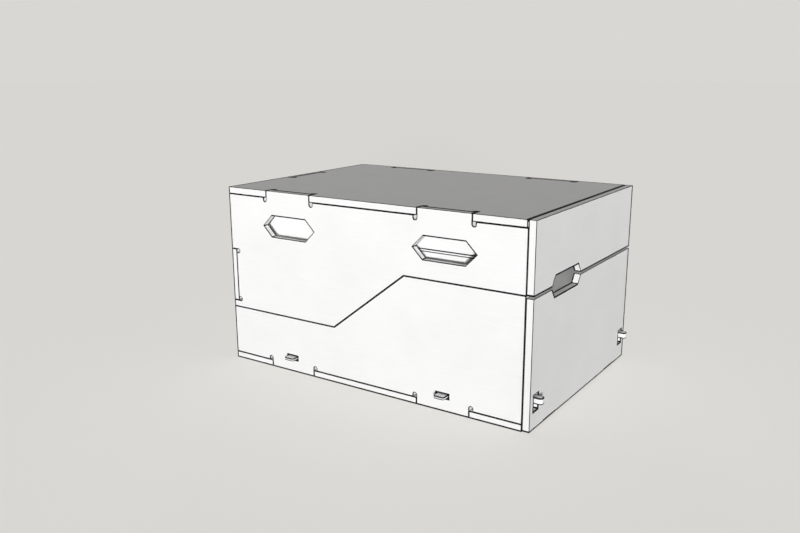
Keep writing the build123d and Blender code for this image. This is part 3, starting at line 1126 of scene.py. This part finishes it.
@dataclass
class Base(SubAssembly):
    """Open box that everything stands in: stove well at the left, bay with a worktop at the right.

    Attributes:
        lines: Widths of the boards' black lines.
        board_ease: How far the boards' corners are taken off, in metres.
        timber_ease: How far the bare timber's corners are taken off, in metres.
        slot_margin: Room in metres round an arm's nose that holds its slot in the front.
    """

    lines: BoardLines = BoardLines()
    board_ease: float = 0.4 * MILLIMETRE
    timber_ease: float = 0.5 * MILLIMETRE
    slot_margin: float = 3.0 * MILLIMETRE

    def dress(self) -> None:
        """Dresses the boards, the timber under the worktop and the catch's magnets."""
        slots = tuple(Zone.around(arm, self.slot_margin) for arm in ("front_arm_left", "front_arm_right"))
        edges = EdgeWork("base", self.lines.rules(self.body, Openings(slots=slots)), self.board_ease)
        for board in ("base_bottom_panel", "base_front_panel", "base_back_panel"):
            self.dress_board(board, Axis.LENGTH, edges)
        for board in ("base_left_panel", "divider_panel", "worktop_panel"):
            self.dress_board(board, Axis.DEPTH, edges)
        timber = EdgeWork("timber", eased=self.timber_ease)
        for batten in ("worktop_batten_front", "worktop_batten_back"):
            self.dress_piece(batten, Plywood(Axis.LENGTH, Axis.HEIGHT), timber)
        self.dress_piece("worktop_end_rail", Plywood(Axis.DEPTH, Axis.LENGTH), timber)
        self.dress_piece("base_corner_dowels", Beech(Axis.DEPTH), EdgeWork())
        self.dress_steel("catch_magnets", SteelKind.PLATED, Axis.LENGTH)


@dataclass
class Lid(SubAssembly):
    """Lid with two hand-holes in its front and two in its back.

    Attributes:
        lines: Widths of the boards' black lines.
        board_ease: How far the boards' corners are taken off, in metres.
        board: Thickness of the boards, in metres.
        hole_places: Middle of each hand-hole along the length, in metres.
        hole_level: Height of the hand-holes' middles, in metres.
        hole_room: Half of the space that holds a hand-hole's edges on one face, in metres.
        end_hole: Hand-hole that it shares with the flap.
        groove_room: Half of the space that holds an upright corner of the top board, in metres.
        edge_room: Half of the space that holds the end board's edge along the groove, where a wider black
            line
        paints the groove's shade.
        under_room: Half of the space that holds the end board's lower edges, whose wide line is painted
            shade
        of the gap over the flap, in metres.
    """

    lines: BoardLines = BoardLines()
    board_ease: float = 0.4 * MILLIMETRE
    board: float = 15.0 * MILLIMETRE
    hole_places: tuple[float, float] = (-0.2005, 0.1855)
    hole_level: float = 0.323
    hole_room: Triple = (0.074, 0.003, 0.026)
    end_hole: EndHandHole = EndHandHole()
    groove_room: Triple = (0.001, 0.003, 0.006)
    edge_room: Triple = (0.001, 0.2, 0.002)
    under_room: Triple = (0.01, 0.3, 0.001)

    def hole_zones(self, depth: float) -> tuple[Zone, ...]:
        """Works out where one side's hand-holes are.

        Args:
            depth: Where the edges lie along the depth, in metres.

        Returns:
            The space that holds their edges there.
        """
        return tuple(Zone((along, depth, self.hole_level), self.hole_room) for along in self.hole_places)

    def groove_zones(self) -> tuple[Zone, ...]:
        """Works out where the top board's end can be seen into, beside the end board.

        Returns:
            The space that holds that corner at the front and at the back.
        """
        low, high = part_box("lid_top_panel")
        level = (low.z + high.z) / 2
        return tuple(Zone((high.x, depth, level), self.groove_room) for depth in (low.y, high.y))

    def end_edge(self) -> Zone:
        """Space that holds the end board's edge along the groove, where a wider line paints its shade."""
        low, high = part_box("lid_end_panel")
        return Zone((low.x, 0.0, high.z), self.edge_room)

    def flap_zones(self) -> tuple[Zone, ...]:
        """Works out where the end board meets the flap; the wide line along its lower edges is painted
        shade of the gap.

        Returns:
            The space that holds its edges over the flap and its half of the hand-hole.
        """
        low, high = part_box("lid_end_panel")
        under = Zone(((low.x + high.x) / 2, 0.0, low.z), self.under_room)
        return under, self.end_hole.at(low.x), self.end_hole.at(high.x)

    def dress(self) -> None:
        """Dresses the boards and the dowels that hold the end on."""
        front, back = self.body.low[1], self.body.high[1]
        outside = self.hole_zones(front) + self.hole_zones(back)
        inside = self.hole_zones(front + self.board) + self.hole_zones(back - self.board)
        # The end board's edge along the groove gets the wider brow line, which paints the shade of the
        # narrow groove.
        brows = tuple(zone.upper_half() for zone in outside) + (self.end_edge(),)
        tips = tuple(zone.upper_half().low_tip(Axis.LENGTH) for zone in outside)
        tips += (self.end_hole.at(self.body.high[0]).high_tip(Axis.DEPTH),)
        # The end board's lower edges over the flap get the wide rim line, which paints the shade of the
        # gap above the flap.
        rims = inside + self.flap_zones()
        openings = Openings(outside + self.groove_zones(), brows=brows, rims=rims, faint=tips)
        edges = EdgeWork("lid", self.lines.rules(self.body, openings), self.board_ease)
        for board in ("lid_top_panel", "lid_front_panel", "lid_back_panel"):
            self.dress_board(board, Axis.LENGTH, edges)
        for board in ("lid_left_panel", "lid_end_panel"):
            self.dress_board(board, Axis.DEPTH, edges)
        self.dress_piece("lid_end_dowels", Beech(Axis.LENGTH), EdgeWork())


@dataclass
class Flap(SubAssembly):
    """Flap that closes the bay and drops outward.

    Attributes:
        lines: Widths of the board's black lines.
        board_ease: How far its corners are taken off, in metres.
        end_hole: Hand-hole that it shares with the lid.
        slot_margin: Room in metres round an arm that holds its slot.
        near_share: Share of that space, from the front, that holds the slot's edge nearer the front.
        seat_room: Half of the space over the floor that holds the hinge seats, which have no lines.
        top_room: Half of the space that holds its top edges, in metres.
    """

    lines: BoardLines = BoardLines(hole=2.1 * MILLIMETRE, slot=2.3 * MILLIMETRE, rim=4.5 * MILLIMETRE)
    board_ease: float = 0.4 * MILLIMETRE
    end_hole: EndHandHole = EndHandHole()
    slot_margin: float = 17.0 * MILLIMETRE
    near_share: float = 0.45
    seat_room: Triple = (1.0, 1.0, 0.008)
    top_room: Triple = (0.01, 0.3, 0.001)

    def dress(self) -> None:
        """Dresses the board and the catch's steel discs."""
        slots = tuple(Zone.around(arm, self.slot_margin) for arm in ("end_arm_front", "end_arm_back"))
        seats = Zone((0.0, 0.0, 0.0), self.seat_room)
        low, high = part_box("end_flap")
        top = Zone(((low.x + high.x) / 2, 0.0, high.z), self.top_room)
        outside, inside = self.end_hole.at(high.x), self.end_hole.at(low.x)
        far = outside.high_tip(Axis.DEPTH)
        face = self.body.zone(Face.RIGHT)
        near = tuple(zone.part(Axis.DEPTH, 0.0, self.near_share).within(face) for zone in slots)
        near += (outside.low_tip(Axis.DEPTH),)
        openings = Openings(
            (outside,), slots, brows=(inside,), rims=near, faint=(top, far), plain=(seats,)
        )
        rules = self.lines.rules(self.body, openings)
        self.dress_board("end_flap", Axis.DEPTH, EdgeWork("flap", rules, self.board_ease))
        self.dress_steel("catch_plates", SteelKind.PLATED, Axis.LENGTH)


@dataclass
class StowedShelf(SubAssembly):
    """Shelf board stowed in the lid, its strip, and the cleats and magnets that hold it.

    Attributes:
        board_line: Width of the board's black lines, in metres.
        strip_line: Width of the strip's black lines, in metres.
        board_ease: How far the board's corners are taken off, in metres.
        strip_ease: How far the strip's corners are taken off, in metres.
        cleat_ease: How far the cleats' corners are taken off, in metres.
    """

    board_line: float = 1.8 * MILLIMETRE
    strip_line: float = 2.0 * MILLIMETRE
    board_ease: float = 0.4 * MILLIMETRE
    strip_ease: float = 0.3 * MILLIMETRE
    cleat_ease: float = 0.5 * MILLIMETRE

    def dress(self) -> None:
        """Dresses the board, its strip, the cleats, the magnets and the steel discs."""
        everywhere = self.body.zone()
        board = EdgeWork("shelf_board", (LineRule(everywhere, self.board_line),), self.board_ease)
        strip = EdgeWork("shelf_strip", (LineRule(everywhere, self.strip_line),), self.strip_ease)
        timber = EdgeWork("timber", eased=self.cleat_ease)
        self.dress_board("shelf_board", Axis.LENGTH, board)
        self.dress_board("shelf_strip", Axis.LENGTH, strip)
        for cleat in ("shelf_cleat_left", "shelf_cleat_right"):
            self.dress_piece(cleat, Plywood(Axis.HEIGHT, Axis.LENGTH), timber)
        for steel in ("shelf_magnets", "shelf_plates"):
            self.dress_steel(steel, SteelKind.PLATED, Axis.DEPTH)


@dataclass
class SupportArm(SubAssembly):
    """Arm that slides out of the box to carry something, with its guide and its stop pin.

    Attributes:
        arm: The arm's name in the frame.
        guide: The guide's name in the frame.
        run: Axis that the arm slides along.
        layers: Axis that the guide's plies are stacked along.
        line: Width of the arm's black lines, in metres.
        arm_ease: How far the arm's corners are taken off, in metres.
        guide_ease: How far the guide's corners are taken off, in metres.
    """

    arm: str
    guide: str
    run: Axis
    layers: Axis
    line: float
    arm_ease: float = 0.4 * MILLIMETRE
    guide_ease: float = 0.5 * MILLIMETRE

    def dress(self) -> None:
        """Dresses the arm, the guide and the stop pin."""
        edges = EdgeWork(self.arm, (LineRule(self.body.zone(), self.line),), self.arm_ease)
        timber = EdgeWork("timber", eased=self.guide_ease)
        self.dress_board(self.arm, self.run, edges)
        self.dress_piece(self.guide, Plywood(self.run, self.layers), timber)
        self.dress_steel(f"{self.arm}_stop", SteelKind.TURNED, Axis.HEIGHT)


@dataclass
class FrontArm(SupportArm):
    """Arm that slides out of the front, low down, through a tight slot."""

    run: Axis = Axis.DEPTH
    layers: Axis = Axis.HEIGHT
    line: float = 2.1 * MILLIMETRE


@dataclass
class EndArm(SupportArm):
    """Arm that slides out of the end, through the flap."""

    run: Axis = Axis.LENGTH
    layers: Axis = Axis.DEPTH
    line: float = 2.3 * MILLIMETRE


@dataclass
class LidHinge(SubAssembly):
    """Long hinge on the left end: two brushed leaves, a pin and screws.

    Attributes:
        leaves: Names of the two leaves in the frame.
        screws: Names of the two rows of screws.
    """

    leaves: tuple[str, str] = ("lid_hinge_base_leaf", "lid_hinge_lid_leaf")
    screws: tuple[str, str] = ("lid_hinge_base_screws", "lid_hinge_lid_screws")

    def dress(self) -> None:
        """Dresses the leaves, the pin and the screws."""
        for leaf in self.leaves:
            self.dress_steel(leaf, SteelKind.BRUSHED, Axis.DEPTH)
        self.dress_steel("lid_hinge_pin", SteelKind.TURNED, Axis.DEPTH)
        for row in self.screws:
            self.dress_steel(row, SteelKind.PLATED, Axis.LENGTH)


@dataclass
class FlapHinges(SubAssembly):
    """Two short hinges let in under the flap: painted leaves, pins and screws.

    Attributes:
        leaves: Names of the two kinds of leaf in the frame.
        screws: Names of the two sets of screws.
    """

    leaves: tuple[str, str] = ("flap_hinge_base_leaves", "flap_hinge_flap_leaves")
    screws: tuple[str, str] = ("flap_hinge_base_screws", "flap_hinge_flap_screws")

    def dress(self) -> None:
        """Dresses the leaves, the pins and the screws."""
        for leaf in self.leaves:
            self.dress_piece(leaf, BlackPaint(), EdgeWork())
        self.dress_steel("flap_hinge_pins", SteelKind.TURNED, Axis.DEPTH)
        for screws in self.screws:
            self.dress_steel(screws, SteelKind.PLATED, Axis.HEIGHT)


@dataclass(frozen=True)
class Lamp:
    """Broad, even lamp that shiny surfaces don't show.

    Attributes:
        name: The lamp's name.
        azimuth: Side that it stands on, in degrees round from the front towards the flap.
        height: Degrees above the horizon.
        strength: Light that it gives, in watts on a square metre.
        softness: How wide it looks, in degrees.
        shadow: Whether it leaves shadows.
    """

    name: str
    azimuth: float
    height: float
    strength: float
    softness: float
    shadow: bool = True

    def build(self) -> None:
        """Adds the lamp to the scene."""
        lamp = bpy.data.lights.new(self.name, "SUN")
        lamp.energy = self.strength
        lamp.angle = math.radians(self.softness)
        lamp.use_shadow = self.shadow
        sun = bpy.data.objects.new(self.name, lamp)
        sun.visible_glossy = False
        turn, rise = math.radians(self.azimuth), math.radians(self.height)
        out, up = math.cos(rise), math.sin(rise)
        towards = Vector((math.sin(turn) * out, -math.cos(turn) * out, up))
        sun.rotation_mode = "QUATERNION"
        sun.rotation_quaternion = towards.to_track_quat("Z", "Y")
        bpy.context.scene.collection.objects.link(sun)
        log.info("%s", self.name)


@dataclass
class Studio:
    """Pale floor, soft light and the camera.

    Attributes:
        backdrop: Colour that the background shows.
        ambient: Level of the light from all round.
        lamps: The lamps.
        floor_size: Side of the floor in metres.
        floor_colour: Colour that the floor has for light.
        floor_glow: Colour that rays which see the background find on the floor as well.
        lens: Focal length in millimetres.
        sensor: Sensor width in millimetres.
        nearest: Distance in metres from which the camera sees.
        camera_place: Where the camera stands, in metres.
        camera_azimuth: Degrees that the camera is turned from looking along the depth.
        camera_fall: Degrees that it looks down.
        camera_roll: Degrees that it is rolled.
    """

    backdrop: Colour = (0.694, 0.680, 0.651)
    ambient: float = 0.10
    lamps: tuple[Lamp, ...] = (
        Lamp("key_light", azimuth=32.0, height=2.2, strength=4.25, softness=9.0),
        Lamp("back_light", azimuth=215.0, height=2.0, strength=1.6, softness=14.0),
        Lamp("fill_light", azimuth=0.0, height=90.0, strength=0.4, softness=30.0, shadow=False),
    )
    floor_size: float = 60.0
    floor_colour: Colour = (0.3, 0.297, 0.289)
    floor_glow: Colour = (0.594, 0.581, 0.554)
    lens: float = 36.564
    sensor: float = 36.0
    nearest: float = 0.05
    camera_place: Triple = (0.9501, -1.52204, 0.66097)
    camera_azimuth: float = 34.16
    camera_fall: float = 13.938
    camera_roll: float = -0.217

    def build(self) -> None:
        """Builds the whole studio."""
        self.build_world()
        self.build_floor()
        for lamp in self.lamps:
            lamp.build()
        self.build_camera()

    def seen_factor(self, graph: Graph) -> Socket:
        """Adds up the kinds of ray that see the background.

        Args:
            graph: Node tree of the floor or the world.

        Returns:
            Socket that is 1 for those rays and 0 for light.
        """
        paths = graph.add("ShaderNodeLightPath")
        total = paths.outputs[SeenRay.CAMERA.value]
        for kind in (SeenRay.GLOSSY, SeenRay.TRANSMISSION):
            adder = graph.add("ShaderNodeMath", operation="ADD", use_clamp=True)
            graph.join(total, adder.inputs[0])
            graph.join(paths.outputs[kind.value], adder.inputs[1])
            total = adder.outputs[0]
        return total

    def build_world(self) -> None:
        """Makes even light from all round, behind a plain pale background."""
        world = bpy.data.worlds.new("studio")
        bpy.context.scene.world = world
        world.use_nodes = True
        graph = Graph(world.node_tree)
        world.node_tree.nodes.clear()
        light = graph.shader("ShaderNodeBackground", (self.ambient, self.ambient, self.ambient))
        shown = graph.shader("ShaderNodeBackground", self.backdrop)
        mix = graph.add("ShaderNodeMixShader")
        out = graph.add("ShaderNodeOutputWorld")
        graph.join(self.seen_factor(graph), mix.inputs["Fac"])
        graph.join(light.outputs[0], mix.inputs[1])
        graph.join(shown.outputs[0], mix.inputs[2])
        graph.join(mix.outputs[0], out.inputs["Surface"])

    def build_floor(self) -> None:
        """Makes a plain floor that keeps the box's shadow and meets the background's colour."""
        half = self.floor_size / 2
        mesh = bpy.data.meshes.new("floor")
        corners = [(-half, -half, 0), (half, -half, 0), (half, half, 0), (-half, half, 0)]
        mesh.from_pydata(corners, [], [(0, 1, 2, 3)])
        floor = bpy.data.objects.new("floor", mesh)
        bpy.context.scene.collection.objects.link(floor)
        material = bpy.data.materials.new("floor")
        material.use_nodes = True
        material.node_tree.nodes.clear()
        graph = Graph(material.node_tree)
        matt = graph.shader("ShaderNodeBsdfDiffuse", self.floor_colour)
        glow = graph.shader("ShaderNodeEmission", self.floor_glow)
        graph.join(self.seen_factor(graph), glow.inputs["Strength"])
        both = graph.add("ShaderNodeAddShader")
        out = graph.add("ShaderNodeOutputMaterial")
        graph.join(matt.outputs[0], both.inputs[0])
        graph.join(glow.outputs[0], both.inputs[1])
        graph.join(both.outputs[0], out.inputs["Surface"])
        mesh.materials.append(material)
        log.info("floor")

    def build_camera(self) -> None:
        """Adds the camera at the reference view."""
        lens = bpy.data.cameras.new("camera")
        lens.lens = self.lens
        lens.sensor_width = self.sensor
        lens.clip_start = self.nearest
        lens.clip_end = self.floor_size
        camera = bpy.data.objects.new("camera", lens)
        turn = Matrix.Rotation(math.radians(self.camera_azimuth), 4, "Z")
        tilt = Matrix.Rotation(math.radians(LEVEL_VIEW - self.camera_fall), 4, "X")
        roll = Matrix.Rotation(math.radians(self.camera_roll), 4, "Z")
        camera.matrix_world = Matrix.Translation(self.camera_place) @ turn @ tilt @ roll
        bpy.context.scene.collection.objects.link(camera)
        bpy.context.scene.camera = camera
        log.info("camera")


def main() -> None:
    """Builds the studio and dresses every part of the box."""
    logging.basicConfig(level=logging.INFO, format="%(name)s: %(message)s")
    bpy.context.scene.view_settings.view_transform = "Standard"
    Studio().build()
    body = ClosedBody.from_frame()
    parts = (
        Base(body),
        Lid(body),
        Flap(body),
        StowedShelf(body),
        FrontArm(body, "front_arm_left", "front_arm_guide_left"),
        FrontArm(body, "front_arm_right", "front_arm_guide_right"),
        EndArm(body, "end_arm_front", "end_arm_guide_front"),
        EndArm(body, "end_arm_back", "end_arm_guide_back"),
        LidHinge(body),
        FlapHinges(body),
    )
    for part in parts:
        log.info("%s", type(part).__name__)
        part.dress()


if __name__ == "__main__":
    main()
